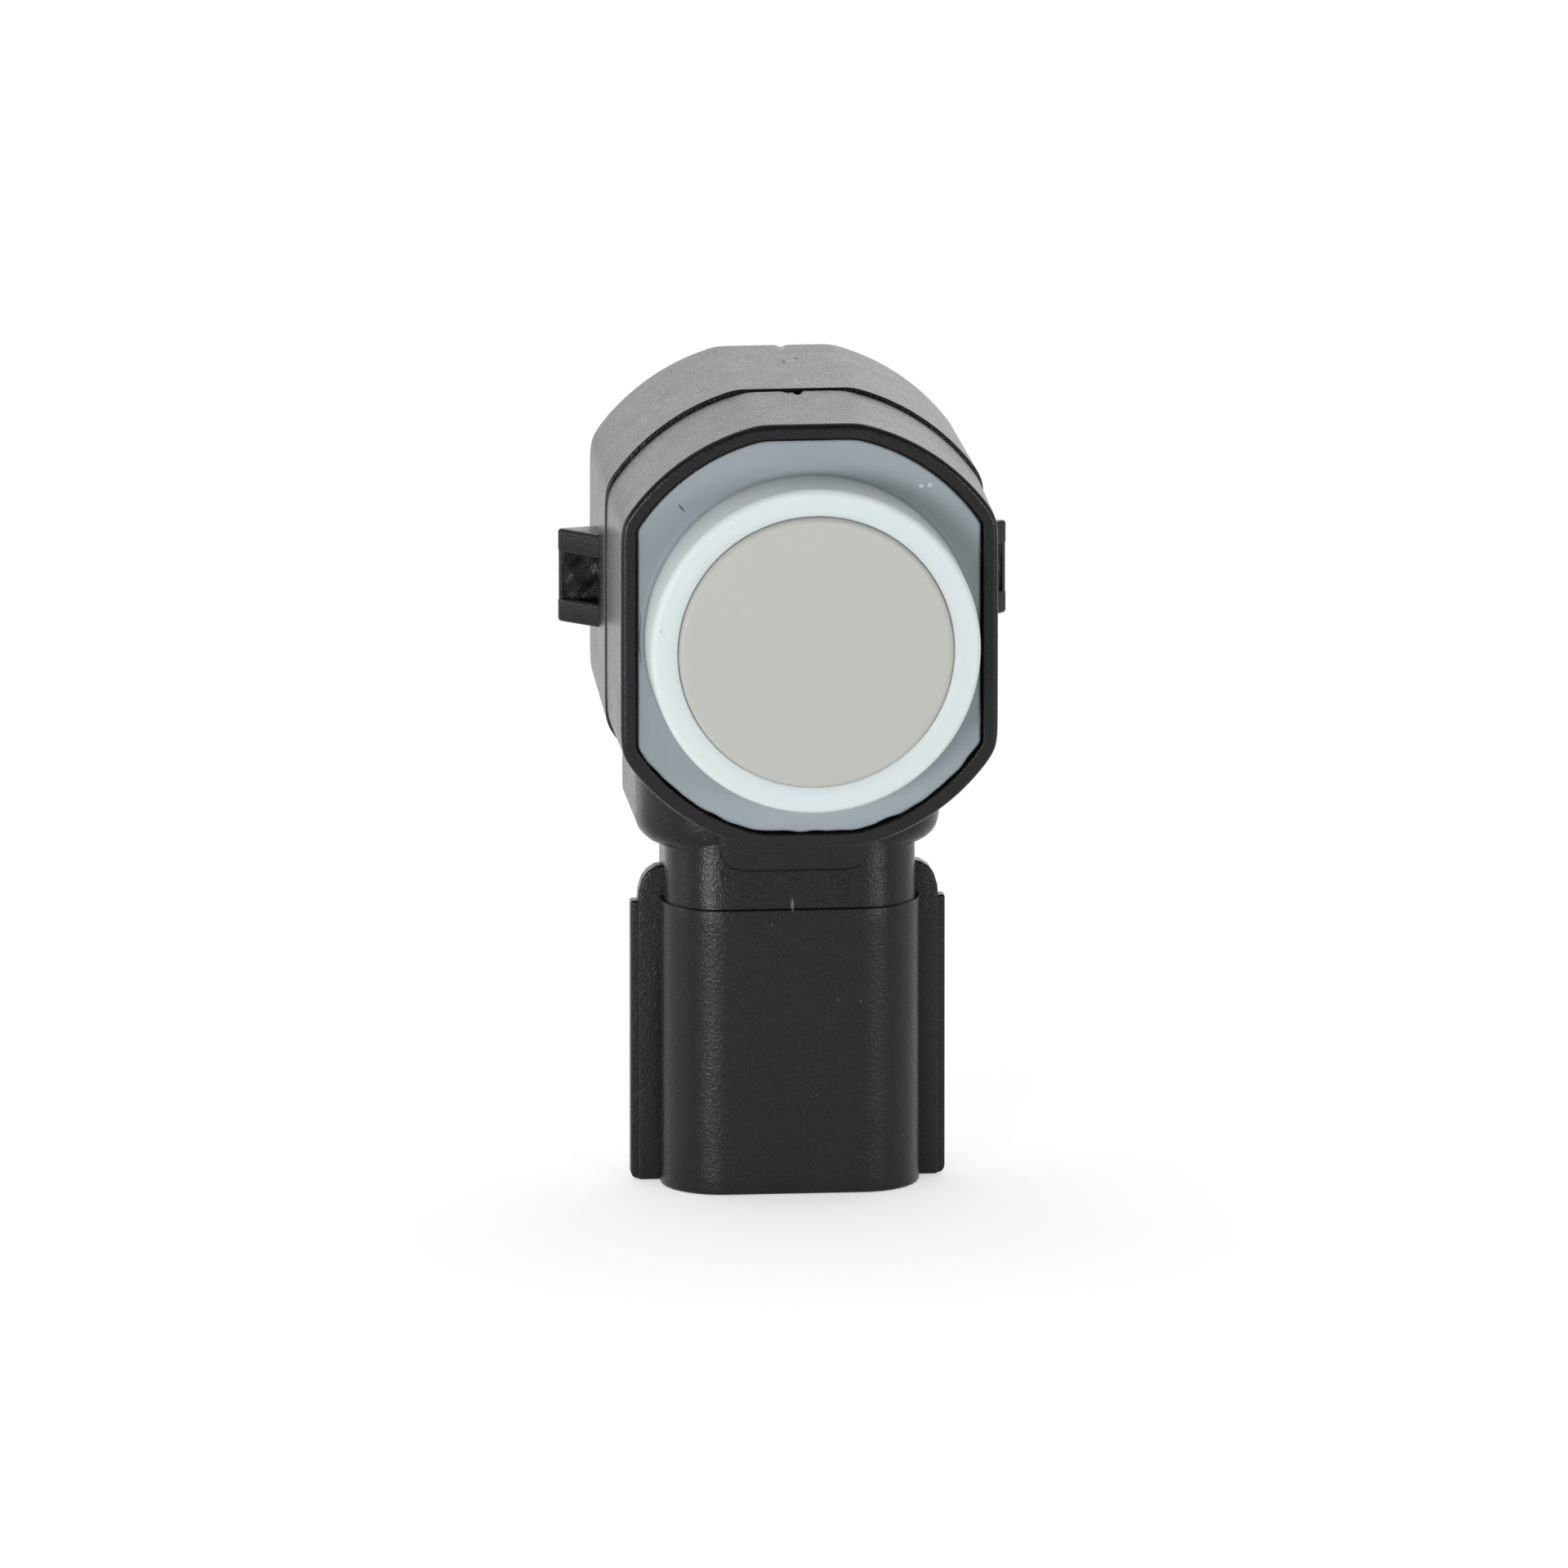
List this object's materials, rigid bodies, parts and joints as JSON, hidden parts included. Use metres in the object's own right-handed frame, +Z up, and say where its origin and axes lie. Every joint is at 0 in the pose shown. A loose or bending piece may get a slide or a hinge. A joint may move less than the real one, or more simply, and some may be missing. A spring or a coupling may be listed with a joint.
{
  "type": "parking sensor",
  "caption": "Ultrasonic parking sensor: painted round face in a soft white collar, black truncated-round housing with side clip ears and a plug socket pointing down.",
  "frame": {"origin": "on the axis of the round nose, in the plane of the front rim", "axes": "+X to the right as seen from the front, +Y from the face to the back, +Z up, away from the plug socket"},
  "size_m": [0.0254, 0.0271, 0.0465],
  "materials": {
    "housing_plastic": "fine spark-eroded grain, semi-matt",
    "ring_plastic": "fine grain, semi-matt",
    "silicone": "translucent, smooth, matt",
    "painted_aluminium": "sprayed taupe-grey paint, satin",
    "piezo_ceramic": "silvered ceramic",
    "foam": "open-pored",
    "seal_silicone": "cast, smooth",
    "lead_red": "insulated wire",
    "lead_black": "insulated wire",
    "carrier_plastic": "moulded",
    "pin_metal": "tinned brass",
    "board": "solder resist on glass fibre",
    "component_black": "moulded package",
    "tinned_metal": "tin-plated",
    "ferrite": "ground ferrite",
    "copper": "enamelled wire",
    "capacitor_yellow": "moulded package",
    "capacitor_tan": "ceramic chip",
    "resin": "cast, glossy"
  },
  "bodies": {
    "root": {"housing": "housing_plastic", "front_ring": "ring_plastic", "decoupling_ring": "silicone", "membrane_pot": "painted_aluminium", "piezo_disc": "piezo_ceramic", "damping_foam": "foam", "pot_seal": "seal_silicone", "piezo_lead": "lead_red", "ground_lead": "lead_black", "contact_carrier": "carrier_plastic", "contact_pin_left": "pin_metal", "contact_pin_right": "pin_metal", "circuit_board": "board", "control_chip": "component_black", "chip_leads": "tinned_metal", "transformer_core": "ferrite", "transformer_coil": "copper", "storage_capacitor": "capacitor_yellow", "filter_capacitors": "capacitor_tan", "resistors": "component_black", "diode": "component_black", "terminal_left": "tinned_metal", "terminal_middle": "tinned_metal", "terminal_right": "tinned_metal", "potting": "resin"}
  },
  "joints": []
}
